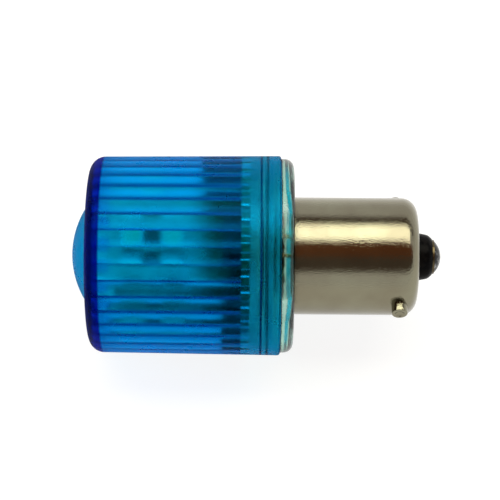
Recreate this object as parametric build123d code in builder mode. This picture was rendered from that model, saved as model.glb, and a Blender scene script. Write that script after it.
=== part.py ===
"""LED signal lamp with a blue fluted cap on a two-lug bayonet base.

The lamp lies on its side. +X runs along the lamp's axis, from the domed end of the cap to the
centre contact, +Y runs along the two bayonet lugs and +Z is up. The origin is where the lamp's
axis crosses the axis of the lugs. All sizes are in millimetres, and an angle about the lamp's
axis is measured from +Y towards +Z.
"""
import os
from math import cos, radians, sin, sqrt

from build123d import *

os.makedirs("parts", exist_ok=True)

# Lengths along the axis
tip_out = 1.15            # centre contact, past the glass bead
glass_out = 1.8           # glass bead, past the shell
shell_past_lugs = 2.55    # from the lugs to the end of the shell
shell_length = 15.9       # bare shell, from its end to the collar
collar_thick = 1.65       # flange of the collar
seat_depth = 5.0          # from the cap's rim to the foot of the flutes
cap_length = 24.3         # from the cap's rim to its flat front
dome_high = 2.3           # end lens, past the flat front

# Cap
cap_rim_r = 12.75
cap_draft = 0.25          # how much smaller the cap's radius is at the front
cap_edge_r = 1.95         # rounding of the front edge
cap_side_wall = 1.15      # wall at the rim, outside the plain bore
cap_end_wall = 1.2        # end wall and dome
dome_base_r = 6.8
flute_count = 36
flute_depth = 0.7         # from the plain bore in to the crest of a flute
flute_swell = 1.6         # radius of a flute's rounding, for each half pitch
flute_turn = 4.0          # how far the flutes are turned from the lugs
tooth_height = 0.35
tooth_width = 0.7

# Collar
collar_step = 0.35        # how far the flange stands in from the cap's rim
collar_edge_r = 1.2
collar_floor = 1.0        # how far the collar's floor stands ahead of the flange
collar_fit = 0.1          # radial gap between the collar's tube and the cap
collar_tube_wall = 1.2
bead_back = 2.1           # from the cap's rim to the snap bead
bead_width = 0.9
bead_height = 0.25
groove_gap = 0.08         # gap all round the bead in its groove
spigot_length = 4.0
spigot_wall = 1.3
socket_depth = 1.0        # how far the shell goes into the collar
socket_gap = 0.05         # radial gap on each side of the shell's wall

# Shell
shell_r = 7.5
shell_wall = 0.45
shell_edge_r = 2.0
shell_bulge = 0.3         # how far the end wall stands out from its corner to its hole
shell_hole_r = 3.05

# Lugs
lug_r = 1.0
lug_high = 1.15           # how far a lug stands out of the shell
lug_edge = 0.12           # chamfer on the outer end
lug_shank_r = 0.75
lug_shank_gap = 0.02
lug_head_r = 0.95
lug_head_thick = 0.35
lug_head_gap = 0.1        # between the head and the shell, which rounds in towards its end
lug_dimple_r = 0.62
lug_dimple_depth = 0.28

# Glass bead and centre contact
glass_side_gap = 1.65     # between the glass and the shell's bore
glass_depth = 3.4         # how far the glass reaches in from the shell's end wall
glass_tip_r = 2.35
glass_nose_r = 3.2        # rounding of the glass outside the shell
eyelet_r = 0.9
eyelet_wall = 0.25
eyelet_tail = 0.5         # how far the eyelet stands out behind the glass
eyelet_plate_r = 2.2
eyelet_plate = 0.25
solder_tip_r = 2.1
solder_plug = 1.4         # depth of the solder inside the eyelet

# Boards
board_gap = 0.05          # gap on each face of the clamped base board
board_edge_gap = 0.15     # gap between the base board's edge and the teeth
base_board_thick = 1.0
tower_turn = 20.0         # how far the tower is turned from the lugs
tower_half = 5.3          # from the axis to the outer face of a tower board
tower_thick = 0.8
tower_corner_gap = 0.1    # at the inner edge of each corner of the tower
tower_top_gap = 1.5       # between the top board and the cap's end wall
top_board_thick = 1.0
tab_wide = 2.4
tab_gap = 0.06            # gap on each side of a tab in its slot
fillet_leg = 0.45         # solder fillet at the foot of a tower board
fillet_long = 3.0
fillet_face = 0.36        # how much of each leg the slope of a fillet takes

# LEDs and the parts on the boards
led_long = 3.5
led_wide = 2.8
led_high = 1.9
led_notch = 0.5           # cut corner that marks one end
led_window_r = 1.2
led_window_deep = 0.12
led_back = 4.6            # from the front of the tower to the middle of its lit part
led_pitch = 5.05          # between the two LEDs of a pair
chip_long = 3.2
chip_wide = 1.6
chip_high = 0.6
ballast_wide = 2.5
ballast_pitch = 3.2
can_gap = 0.12            # between the can and both the tower and the flutes
can_high = 5.2
can_edge = 0.4
can_groove_up = 0.8       # from the base board to the rolled groove
can_groove_wide = 0.4
can_groove = 0.2
bridge_long = 4.7
bridge_wide = 3.9
bridge_high = 2.5
bridge_leg = 0.9
bridge_leg_wide = 0.63
bridge_leg_thick = 0.22
bridge_leg_pitch = 2.5
diode_long = 4.6
diode_wide = 3.8
diode_high = 2.3
diode_strap = 0.3

# Leads and their solder
lead_r = 0.3
lead_hole_gap = 0.1
lead_proud = 0.8          # how far a lead stands out of the front of the base board
lead_end_gap = 0.5        # solder left over the end of the contact lead
shell_lead_turn = 0.0     # which way the shell lead goes
shell_lead_web = 0.84     # board left between the shell lead's hole and the nearest slot
shell_lead_bend_r = 1.5
shell_lead_start = 0.35   # from the spigot to the bend
shell_lead_rise = 3.0     # length over which it bends out to the shell
shell_lead_run = 2.4      # length that lies along the shell
shell_joint_r = 1.1
shell_joint_high = 0.9
shell_joint_taper = 20
shell_joint_cover = 0.77  # how far the mound's middle stands back from the end of the lead
joint_gap = 0.02
cone_r = 0.85
cone_high = 0.6
cone_taper = 35

# Places along the axis
shell_end_x = shell_past_lugs
glass_end_x = shell_end_x + glass_out
tip_x = glass_end_x + tip_out
collar_rear_x = shell_end_x - shell_length
shell_front_x = collar_rear_x - socket_depth
spigot_end_x = shell_front_x + spigot_length
rim_x = collar_rear_x - collar_thick
bead_x = rim_x - bead_back
foot_x = rim_x - seat_depth
face_x = rim_x - cap_length
dome_x = face_x - dome_high
cavity_x = face_x + cap_end_wall
base_front_x = foot_x + board_gap
base_rear_x = base_front_x + base_board_thick
tube_end_x = base_rear_x + board_gap
top_front_x = cavity_x + tower_top_gap
tower_front_x = top_front_x + top_board_thick
led_x = tower_front_x + led_back
glass_rear_x = shell_end_x - shell_wall - glass_depth
plate_front_x = glass_end_x + eyelet_plate
shell_lead_bend_x = spigot_end_x + shell_lead_start
shell_joint_x = shell_lead_bend_x + shell_lead_rise + shell_lead_run

# Distances from the axis
cap_front_r = cap_rim_r - cap_draft
cap_bore_r = cap_rim_r - cap_side_wall
flute_crest_r = cap_bore_r - flute_depth
flute_half_angle = radians(180 / flute_count)
flute_share = flute_swell * sin(flute_half_angle)
flute_r = flute_crest_r * flute_share / (1 - flute_share)
flute_centre_r = flute_crest_r + flute_r
flute_valley_r = flute_centre_r * cos(flute_half_angle) - sqrt(
    flute_r**2 - (flute_centre_r * sin(flute_half_angle))**2)
collar_r = cap_rim_r - collar_step
collar_tube_r = cap_bore_r - collar_fit
collar_bore_r = collar_tube_r - collar_tube_wall
shell_bore_r = shell_r - shell_wall
spigot_r = shell_bore_r - socket_gap
spigot_bore_r = spigot_r - spigot_wall
lug_reach = shell_r + lug_high
glass_r = shell_bore_r - glass_side_gap
eyelet_bore_r = eyelet_r - eyelet_wall
base_board_r = cap_bore_r - tooth_height - board_edge_gap
tower_inner = tower_half - tower_thick
tower_wide = 2 * (tower_inner - tower_corner_gap)
ring_half = (flute_crest_r - tower_half - fillet_leg) / 2
ring_r = flute_crest_r - ring_half
can_r = ring_half - can_gap
shell_lead_r = tower_inner - tab_gap - shell_lead_web - lead_hole_gap - lead_r

tower_length = base_front_x - tower_front_x
tower_angles = [tower_turn + 90 * i for i in range(4)]


def end_wall_x(radius):
    """Where the outside of the shell's slightly coned end wall lies at a radius."""
    return shell_end_x - shell_bulge * (radius - shell_hole_r) / (shell_r - shell_hole_r)


def cap_radius(base_r, high):
    """The radius of the ball whose cap has this base radius and height."""
    return (base_r**2 + high**2) / (2 * high)


def on_arc(centre, radius, off_axis):
    """A point of the arc of a ball centred on an axis. A negative radius takes the side behind it."""
    reach = sqrt(radius**2 - off_axis**2)
    return centre + (reach if radius > 0 else -reach), off_axis


def outward(angle):
    """The direction away from the lamp's axis at an angle."""
    return Vector(0, cos(radians(angle)), sin(radians(angle)))


def facing(angle, radius, x):
    """A plane that faces outward at an angle: its X runs along the lamp, its Y around it."""
    out = outward(angle)
    return Plane(origin=out * radius + Vector(x, 0, 0), x_dir=(1, 0, 0), z_dir=out)


def half_plane(angle):
    """The plane of the axis and an outward direction: its X runs along the lamp, its Y outward."""
    return Plane(origin=(0, 0, 0), x_dir=(1, 0, 0), z_dir=Vector(1, 0, 0).cross(outward(angle)))


def on_base(angle, radius):
    """A plane on the front of the base board, facing the dome, with its X running outward."""
    out = outward(angle)
    return Plane(origin=out * radius + Vector(base_front_x, 0, 0), x_dir=out, z_dir=(-1, 0, 0))


def save(piece, name):
    """Label a finished piece and write it as a STEP file of that name."""
    piece.part.label = name
    export_step(piece.part, f"parts/{name}.step")


# Blue cap: the outer form is turned in one. The plain bore, the fluted cavity, the hollow of the
# dome and the snap groove are cut from it, and the teeth stand in the bore round the board.
dome_r = cap_radius(dome_base_r, dome_high)
dome_centre_x = dome_x + dome_r
groove_r = collar_tube_r + bead_height + groove_gap
groove_half = bead_width / 2 + groove_gap

with BuildPart() as blue_cap:
    with BuildSketch(Plane.XZ):
        with BuildLine():
            ThreePointArc((dome_x, 0), on_arc(dome_centre_x, -dome_r, dome_base_r / 2), (face_x, dome_base_r))
            Polyline((face_x, dome_base_r), (face_x, cap_front_r), (rim_x, cap_rim_r), (rim_x, 0),
                     (dome_x, 0))
        make_face()
        fillet(vertices().sort_by_distance((face_x, cap_front_r))[0], cap_edge_r)
    revolve(axis=Axis.X)
    with BuildSketch(Plane.YZ.offset(foot_x)):
        Circle(cap_bore_r)
    extrude(amount=rim_x - foot_x, mode=Mode.SUBTRACT)
    with BuildSketch(Plane.YZ.offset(cavity_x)):
        Circle(flute_valley_r)
        with PolarLocations(flute_centre_r, flute_count, start_angle=flute_turn):
            Circle(flute_r, mode=Mode.SUBTRACT)
    extrude(amount=foot_x - cavity_x, mode=Mode.SUBTRACT)
    with BuildSketch(Plane.XZ):
        with Locations((dome_centre_x, 0)):
            Circle(dome_r - cap_end_wall)
        with Locations((cavity_x, 0)):
            Rectangle(dome_r, dome_base_r, align=(Align.MAX, Align.MIN), mode=Mode.INTERSECT)
    revolve(axis=Axis.X, mode=Mode.SUBTRACT)
    with BuildSketch(Plane.XZ):
        with BuildLine():
            Polyline((bead_x - groove_half, cap_bore_r), (bead_x - groove_half / 2, groove_r),
                     (bead_x + groove_half / 2, groove_r), (bead_x + groove_half, cap_bore_r), close=True)
        make_face()
    revolve(axis=Axis.X, mode=Mode.SUBTRACT)
    with BuildSketch(Plane.YZ.offset(foot_x)):
        with PolarLocations(cap_bore_r, flute_count, start_angle=flute_turn):
            Rectangle(2 * tooth_height, tooth_width)
    extrude(amount=tube_end_x - foot_x)
save(blue_cap, "blue_cap")

# Clear collar: flange, tube with its snap bead, floor, spigot and the socket round the shell, all
# turned from one outline.
with BuildPart() as clear_collar:
    with BuildSketch(Plane.XZ):
        with BuildLine():
            Polyline(
                (tube_end_x, collar_bore_r),
                (tube_end_x, collar_tube_r),
                (bead_x - bead_width / 2, collar_tube_r),
                (bead_x - bead_width / 4, collar_tube_r + bead_height),
                (bead_x + bead_width / 4, collar_tube_r + bead_height),
                (bead_x + bead_width / 2, collar_tube_r),
                (rim_x, collar_tube_r),
                (rim_x, collar_r),
                (collar_rear_x, collar_r),
                (collar_rear_x, shell_r + socket_gap),
                (shell_front_x, shell_r + socket_gap),
                (shell_front_x, spigot_r),
                (shell_front_x + spigot_length, spigot_r),
                (shell_front_x + spigot_length, spigot_bore_r),
                (rim_x - collar_floor, spigot_bore_r),
                (rim_x - collar_floor, collar_bore_r),
                close=True,
            )
        make_face()
        fillet(vertices().sort_by_distance((collar_rear_x, collar_r))[0], collar_edge_r)
    revolve(axis=Axis.X)
save(clear_collar, "clear_collar")

# Bayonet shell: a drawn cup with a rounded corner, a hole in its end for the glass and one on each
# side for a lug.
with BuildPart() as bayonet_shell:
    with BuildSketch(Plane.XZ):
        with BuildLine():
            Polyline((shell_front_x, 0), (shell_front_x, shell_r), (end_wall_x(shell_r), shell_r),
                     (shell_end_x, shell_hole_r), (shell_end_x, 0), close=True)
        make_face()
        fillet(vertices().sort_by_distance((end_wall_x(shell_r), shell_r))[0], shell_edge_r)
    revolve(axis=Axis.X)
    with BuildSketch(Plane.XZ):
        with BuildLine():
            inner_corner = (end_wall_x(shell_bore_r) - shell_wall, shell_bore_r)
            Polyline((shell_front_x, 0), (shell_front_x, shell_bore_r), inner_corner,
                     (shell_end_x - shell_wall, shell_hole_r), (shell_end_x, shell_hole_r), (shell_end_x, 0),
                     close=True)
        make_face()
        fillet(vertices().sort_by_distance(inner_corner)[0], shell_edge_r - shell_wall)
    revolve(axis=Axis.X, mode=Mode.SUBTRACT)
    with BuildSketch(Plane.XZ):
        Circle(lug_shank_r + lug_shank_gap)
    extrude(amount=lug_reach, both=True, mode=Mode.SUBTRACT)
save(bayonet_shell, "bayonet_shell")

# Bayonet lugs: turned pins, pushed through the shell from outside and headed over inside it.
lug_head_top_r = sqrt(shell_bore_r**2 - lug_head_r**2) - lug_head_gap
lug_inner_r = lug_head_top_r - lug_head_thick
dimple_r = cap_radius(lug_dimple_r, lug_dimple_depth)
dimple_centre = lug_reach - lug_dimple_depth + dimple_r

for number, angle in enumerate((180, 0), start=1):
    with BuildPart() as bayonet_pin:
        with BuildSketch(half_plane(angle)):
            with BuildLine():
                Polyline((0, lug_reach - lug_dimple_depth), (0, lug_inner_r), (lug_head_r, lug_inner_r),
                         (lug_head_r, lug_head_top_r), (lug_shank_r, lug_head_top_r), (lug_shank_r, shell_r),
                         (lug_r, shell_r), (lug_r, lug_reach - lug_edge), (lug_r - lug_edge, lug_reach),
                         (lug_dimple_r, lug_reach))
                ThreePointArc((lug_dimple_r, lug_reach),
                              on_arc(dimple_centre, -dimple_r, lug_dimple_r / 2)[::-1],
                              (0, lug_reach - lug_dimple_depth))
            make_face()
        revolve(axis=Axis((0, 0, 0), outward(angle)))
    save(bayonet_pin, f"bayonet_pin_{number}")

# Contact insulator: a glass bead that fills the end of the shell and stands out of its hole.
with BuildPart() as contact_insulator:
    with BuildSketch(Plane.XZ):
        with BuildLine():
            Polyline((glass_end_x, glass_tip_r), (glass_end_x, eyelet_r), (glass_rear_x, eyelet_r),
                     (glass_rear_x, glass_r), (end_wall_x(glass_r) - shell_wall, glass_r),
                     (shell_end_x - shell_wall, shell_hole_r), (shell_end_x, shell_hole_r))
            RadiusArc((shell_end_x, shell_hole_r), (glass_end_x, glass_tip_r), glass_nose_r)
        make_face()
    revolve(axis=Axis.X)
save(contact_insulator, "contact_insulator")

# Contact eyelet: a brass tube through the glass, with the contact plate on its outer end.
with BuildPart() as contact_eyelet:
    with BuildSketch(Plane.XZ):
        with BuildLine():
            Polyline((glass_rear_x - eyelet_tail, eyelet_bore_r), (glass_rear_x - eyelet_tail, eyelet_r),
                     (glass_end_x, eyelet_r), (glass_end_x, eyelet_plate_r), (plate_front_x, eyelet_plate_r),
                     (plate_front_x, eyelet_bore_r), close=True)
        make_face()
    revolve(axis=Axis.X)
save(contact_eyelet, "contact_eyelet")

# Contact solder: the domed tip, with a plug in the eyelet that holds the end of the contact lead.
tip_sphere_r = cap_radius(solder_tip_r, tip_x - plate_front_x)
tip_centre_x = tip_x - tip_sphere_r
contact_lead_end_x = tip_x - lead_end_gap

with BuildPart() as contact_solder:
    with BuildSketch(Plane.XZ):
        with BuildLine():
            Polyline((tip_x, 0), (contact_lead_end_x, 0), (contact_lead_end_x, lead_r),
                     (plate_front_x - solder_plug, lead_r), (plate_front_x - solder_plug, eyelet_bore_r),
                     (plate_front_x, eyelet_bore_r), (plate_front_x, solder_tip_r))
            ThreePointArc((plate_front_x, solder_tip_r), on_arc(tip_centre_x, tip_sphere_r, solder_tip_r / 2),
                          (tip_x, 0))
        make_face()
    revolve(axis=Axis.X)
save(contact_solder, "contact_solder")

# Base board: a disc held between the collar's tube and the foot of the flutes, with a slot for
# each tower board's tab and a hole for each lead.
slot_r = tower_half - tower_thick / 2

with BuildPart() as base_board:
    with BuildSketch(Plane.YZ.offset(base_front_x)):
        Circle(base_board_r)
        with PolarLocations(slot_r, len(tower_angles), start_angle=tower_turn):
            Rectangle(tower_thick + 2 * tab_gap, tab_wide + 2 * tab_gap, mode=Mode.SUBTRACT)
        Circle(lead_r + lead_hole_gap, mode=Mode.SUBTRACT)
        with PolarLocations(shell_lead_r, 1, start_angle=shell_lead_turn):
            Circle(lead_r + lead_hole_gap, mode=Mode.SUBTRACT)
    extrude(amount=base_board_thick)
save(base_board, "base_board")

# Tower boards: four strips round the axis, each with a tab into the base board and one into the
# top board, and a solder fillet at its foot.
for number, angle in enumerate(tower_angles, start=1):
    with BuildPart() as tower_board:
        with BuildSketch(facing(angle, tower_half, tower_front_x)):
            Rectangle(tower_length, tower_wide, align=(Align.MIN, Align.CENTER))
            with Locations((-top_board_thick, 0)):
                Rectangle(top_board_thick + tower_length + base_board_thick, tab_wide,
                          align=(Align.MIN, Align.CENTER))
        extrude(amount=-tower_thick)
    save(tower_board, f"tower_board_{number}")

    with BuildPart() as tower_solder:
        with BuildSketch(on_base(angle, tower_half)):
            Rectangle(fillet_leg, fillet_long, align=(Align.MIN, Align.CENTER))
        extrude(amount=fillet_leg)
        chamfer(edges().filter_by(Axis(origin=(0, 0, 0), direction=outward(angle + 90)))
                .sort_by(Axis((0, 0, 0), Vector(-1, 0, 0) + outward(angle)))[-1], fillet_face)
    save(tower_solder, f"tower_solder_{number}")

# Top board: closes the tower, with an edge notch for each tower board's front tab.
with BuildPart() as top_board:
    with BuildSketch(Plane.YZ.offset(top_front_x)):
        Rectangle(2 * tower_half, 2 * tower_half, rotation=tower_turn)
        with PolarLocations(tower_half, len(tower_angles), start_angle=tower_turn):
            Rectangle(2 * (tower_thick + tab_gap), tab_wide + 2 * tab_gap, mode=Mode.SUBTRACT)
    extrude(amount=top_board_thick)
save(top_board, "top_board")


def make_led(plane, name):
    """A surface-mount LED: a white moulded body with a cut corner and a round resin window."""
    with BuildPart() as led:
        with BuildSketch(plane):
            Rectangle(led_wide, led_long)
            chamfer(vertices().sort_by(Axis.X)[-1], led_notch)
        extrude(amount=led_high)
        with BuildSketch(plane.offset(led_high)):
            Circle(led_window_r)
        extrude(amount=-led_window_deep, mode=Mode.SUBTRACT)
    save(led, name)


def make_chip(plane, long, wide, high, name):
    """A chip resistor: a plain ceramic block with its end caps flush."""
    with BuildPart() as chip:
        with BuildSketch(plane):
            Rectangle(wide, long)
        extrude(amount=high)
    save(chip, name)


# LEDs: a pair on two neighbouring faces, one on each of the other two, and one under the dome.
pair_places = [led_x - led_pitch / 2, led_x + led_pitch / 2]
led_places = [(tower_angles[0], led_x)]
led_places += [(tower_angles[1], x) for x in pair_places]
led_places += [(tower_angles[2], x) for x in pair_places]
led_places += [(tower_angles[3], led_x)]

for number, (angle, x) in enumerate(led_places, start=1):
    make_led(facing(angle, tower_half, x), f"side_led_{number}")

top_plane = Plane(origin=(top_front_x, 0, 0), x_dir=outward(tower_turn), z_dir=(-1, 0, 0))
make_led(top_plane, "top_led")

# Chip resistors: one between the two LEDs of each pair, and two on the base board.
for number, angle in enumerate(tower_angles[1:3], start=1):
    make_chip(facing(angle, tower_half, led_x), chip_long, chip_wide, chip_high, f"led_resistor_{number}")

ballast_plane = on_base(tower_angles[3], ring_r)
for number, side in enumerate((-1, 1), start=1):
    make_chip(ballast_plane.shift_origin(ballast_plane.from_local_coords((0, side * ballast_pitch / 2, 0))),
              ballast_wide, chip_long, chip_high, f"ballast_resistor_{number}")

# Reservoir capacitor: an electrolytic can with a rounded top and a rolled groove near its foot.
with BuildPart() as reservoir_capacitor:
    with BuildSketch(on_base(tower_angles[0], ring_r)):
        Circle(can_r)
    extrude(amount=can_high)
    fillet(edges().sort_by(Axis.X)[0], can_edge)
    with BuildSketch(on_base(tower_angles[0], ring_r).offset(can_groove_up)):
        Circle(can_r)
        Circle(can_r - can_groove, mode=Mode.SUBTRACT)
    extrude(amount=can_groove_wide, mode=Mode.SUBTRACT)
save(reservoir_capacitor, "reservoir_capacitor")

# Bridge rectifier: a moulded body with two flat legs at each end.
with BuildPart() as bridge_rectifier:
    bridge_plane = on_base(tower_angles[2], ring_r)
    with BuildSketch(bridge_plane):
        Rectangle(bridge_wide, bridge_long)
    extrude(amount=bridge_high)
    with BuildSketch(bridge_plane):
        with GridLocations(bridge_leg_pitch, bridge_long + bridge_leg, 2, 2):
            Rectangle(bridge_leg_wide, bridge_leg)
    extrude(amount=bridge_leg_thick)
save(bridge_rectifier, "bridge_rectifier")

# Surge diode: a moulded body with a metal strap folded under each end.
with BuildPart() as surge_diode:
    diode_plane = on_base(tower_angles[1], ring_r)
    with BuildSketch(diode_plane):
        Rectangle(diode_wide, diode_long)
    extrude(amount=diode_high)
    with BuildSketch(diode_plane):
        with GridLocations(0, diode_long + diode_strap, 1, 2):
            Rectangle(diode_wide / 2, diode_strap)
    extrude(amount=diode_high / 2)
save(surge_diode, "surge_diode")

# Contact lead: a straight wire from the middle of the base board to the solder of the tip.
with BuildPart() as contact_lead:
    with BuildSketch(Plane.YZ.offset(base_front_x - lead_proud)):
        Circle(lead_r)
    extrude(amount=contact_lead_end_x - base_front_x + lead_proud)
save(contact_lead, "contact_lead")

# Shell lead: runs through the spigot, then bends out and lies along the shell's wall.
lead_wall_r = shell_bore_r - lead_r - joint_gap

with BuildPart() as shell_lead:
    with BuildLine(half_plane(shell_lead_turn)) as shell_lead_path:
        FilletPolyline((base_front_x - lead_proud, shell_lead_r), (shell_lead_bend_x, shell_lead_r),
                       (shell_lead_bend_x + shell_lead_rise, lead_wall_r), (shell_joint_x, lead_wall_r),
                       radius=shell_lead_bend_r)
    with BuildSketch(Plane(shell_lead_path.line @ 0, z_dir=shell_lead_path.line % 0)):
        Circle(lead_r)
    sweep()
save(shell_lead, "shell_lead")

# Shell solder: a low mound against the shell's wall, over the end of the shell lead.
mound_x = shell_joint_x - shell_joint_cover
mound_top_r = sqrt(shell_bore_r**2 - shell_joint_r**2)

with BuildPart() as shell_solder:
    with BuildSketch(facing(shell_lead_turn, mound_top_r, mound_x)):
        Circle(shell_joint_r)
    extrude(amount=-shell_joint_high, taper=shell_joint_taper)
    with BuildSketch(Plane.YZ.offset(mound_x - shell_joint_r)):
        with PolarLocations(lead_wall_r, 1, start_angle=shell_lead_turn):
            Circle(lead_r)
    extrude(amount=shell_joint_x - mound_x + shell_joint_r, mode=Mode.SUBTRACT)
save(shell_solder, "shell_solder")

# Lead solder: a small cone round each lead, on the front of the base board.
for name, radius in (("contact_lead_solder", 0), ("shell_lead_solder", shell_lead_r)):
    with BuildPart() as lead_solder:
        with BuildSketch(on_base(shell_lead_turn, radius)):
            Circle(cone_r)
        extrude(amount=cone_high, taper=cone_taper)
        with BuildSketch(on_base(shell_lead_turn, radius)):
            Circle(lead_r)
        extrude(amount=cone_high, mode=Mode.SUBTRACT)
    save(lead_solder, name)
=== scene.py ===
"""Looks of an LED signal lamp: a blue fluted cap on a clear collar and a two-lug bayonet base."""

from math import asin, atan2, cos, pi, radians, sin, sqrt, tan

import bmesh
import bpy
from mathutils import Euler, Matrix, Vector


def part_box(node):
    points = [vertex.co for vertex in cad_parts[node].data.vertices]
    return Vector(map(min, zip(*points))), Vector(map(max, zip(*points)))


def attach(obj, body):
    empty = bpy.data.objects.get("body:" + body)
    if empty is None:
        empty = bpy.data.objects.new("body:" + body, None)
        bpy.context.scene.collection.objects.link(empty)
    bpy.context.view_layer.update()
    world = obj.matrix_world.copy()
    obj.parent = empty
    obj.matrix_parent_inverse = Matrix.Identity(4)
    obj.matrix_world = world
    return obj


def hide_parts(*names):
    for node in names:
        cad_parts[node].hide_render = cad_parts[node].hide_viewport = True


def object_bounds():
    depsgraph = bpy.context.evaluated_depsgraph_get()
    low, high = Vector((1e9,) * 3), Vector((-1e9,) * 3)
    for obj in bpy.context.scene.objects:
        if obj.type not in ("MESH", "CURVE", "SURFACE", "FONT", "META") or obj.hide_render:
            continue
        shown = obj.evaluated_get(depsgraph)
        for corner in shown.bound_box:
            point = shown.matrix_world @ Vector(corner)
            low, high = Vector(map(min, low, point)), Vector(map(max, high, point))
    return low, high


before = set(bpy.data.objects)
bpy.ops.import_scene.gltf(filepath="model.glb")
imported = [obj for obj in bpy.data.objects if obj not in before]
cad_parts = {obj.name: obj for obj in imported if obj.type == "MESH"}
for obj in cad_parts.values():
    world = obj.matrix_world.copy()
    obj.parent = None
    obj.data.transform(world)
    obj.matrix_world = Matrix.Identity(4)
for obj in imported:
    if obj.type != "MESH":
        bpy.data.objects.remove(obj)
cad_low, cad_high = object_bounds()
mm = 0.001

# Bayonet shell
# A cup drawn from thin brass sheet and nickel plated, with a rounded shoulder and a slightly coned
# end. Its rim sits in the collar's socket, and the plating keeps the fine grain of the sheet.
shell_wall = 0.45 * mm
shell_shoulder = 2.0 * mm
shell_bulge = 0.3 * mm
shell_hole_r = 3.05 * mm
shell_lip = 0.14 * mm
shell_rim_edge = 0.1 * mm
nickel_colour = (0.235, 0.222, 0.155, 1)
nickel_shade = (0.2, 0.18, 0.125, 1)
turning_steps = 160
round_steps = 96
next_to_nothing = 1e-9

shell_low, shell_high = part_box("bayonet_shell")
shell_front = shell_low.x
shell_end = shell_high.x
shell_r = shell_high.z
shell_bore_r = shell_r - shell_wall


def rounded(corners, steps=6):
    """An outline with arcs at its corners. A corner is (along the axis, out from it, radius)."""
    points = []
    for i, (along, out, radius) in enumerate(corners):
        here = Vector((along, out))
        if radius == 0:
            points.append(here)
            continue
        before = (Vector(corners[i - 1][:2]) - here).normalized()
        after = (Vector(corners[(i + 1) % len(corners)][:2]) - here).normalized()
        half = before.angle(after) / 2
        centre = here + (before + after).normalized() * radius / sin(half)
        first = here + before * radius / tan(half) - centre
        last = here + after * radius / tan(half) - centre
        sweep = first.angle(last)
        for step in range(steps + 1):
            part = sweep * step / steps
            points.append(centre + (first * sin(sweep - part) + last * sin(part)) / sin(sweep))
    return points


def round_axis(along, out, angle):
    """A point that lies out from the lamp's axis at an angle."""
    return Vector((along, out * cos(angle), out * sin(angle)))


def turned(name, outline, steps=turning_steps, place=round_axis, start=0.0):
    """A closed mesh turned from an outline. A point on the axis becomes one pole."""
    shape = bmesh.new()
    rings = []
    for along, out in outline:
        count = steps if out > next_to_nothing else 1
        rings.append([shape.verts.new(place(along, out, start + 2 * pi * i / steps)) for i in range(count)])
    for ring, following in zip(rings, rings[1:] + rings[:1]):
        if len(ring) == 1 and len(following) == 1:
            continue
        for i in range(steps):
            j = (i + 1) % steps
            corners = [ring[i % len(ring)], ring[j % len(ring)], following[j % len(following)],
                       following[i % len(following)]]
            shape.faces.new(list(dict.fromkeys(corners)))
    bmesh.ops.recalc_face_normals(shape, faces=shape.faces)
    mesh = bpy.data.meshes.new(name)
    shape.to_mesh(mesh)
    shape.free()
    return mesh


def smooth(mesh, crease=30):
    """Smooth shading, with a hard edge where two faces meet more sharply than the crease."""
    mesh.shade_smooth()
    mesh.set_sharp_from_angle(angle=radians(crease))


def add_piece(name, mesh, finish, slot, *nodes):
    """A finished piece on the lamp's one body, in place of the nodes that it shows."""
    piece = bpy.data.objects.new(name, mesh)
    bpy.context.scene.collection.objects.link(piece)
    if finish is not None:
        mesh.materials.append(finish)
    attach(piece, "root")
    if nodes:
        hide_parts(*nodes)
    return piece


def wire(tree, value, socket):
    """Feed a socket with another socket's output, or with a plain value."""
    if isinstance(value, bpy.types.NodeSocket):
        tree.links.new(value, socket)
    elif value is not None:
        socket.default_value = value


def maths(tree, operation, first, second=None):
    """The output of a Math node."""
    node = tree.nodes.new("ShaderNodeMath")
    node.operation = operation
    wire(tree, first, node.inputs[0])
    wire(tree, second, node.inputs[1])
    return node.outputs[0]


def mixed(tree, factor, first, second):
    """The output of a Mix node for colours."""
    node = tree.nodes.new("ShaderNodeMix")
    node.data_type = "RGBA"
    wire(tree, factor, node.inputs["Factor"])
    wire(tree, first, node.inputs[6])
    wire(tree, second, node.inputs[7])
    return node.outputs[2]


def between(tree, value, low, high, to_low=0.0, to_high=1.0):
    """The output of a Map Range node, clamped."""
    node = tree.nodes.new("ShaderNodeMapRange")
    wire(tree, value, node.inputs["Value"])
    for socket, number in zip(("From Min", "From Max", "To Min", "To Max"), (low, high, to_low, to_high)):
        node.inputs[socket].default_value = number
    return node.outputs["Result"]


def object_place(tree):
    """Object coordinates, which are the lamp's own frame because each piece sits at the origin."""
    return tree.nodes.new("ShaderNodeTexCoord").outputs["Object"]


def bumped(tree, height, distance, strength=1.0):
    """A normal from a height of up to the distance given."""
    node = tree.nodes.new("ShaderNodeBump")
    wire(tree, height, node.inputs["Height"])
    node.inputs["Distance"].default_value = distance
    node.inputs["Strength"].default_value = strength
    return node.outputs["Normal"]


def new_finish(name):
    """A material with its Principled shader, ready for its colours and masks."""
    finish = bpy.data.materials.new(name)
    finish.use_nodes = True
    return finish, finish.node_tree, finish.node_tree.nodes["Principled BSDF"]


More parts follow.
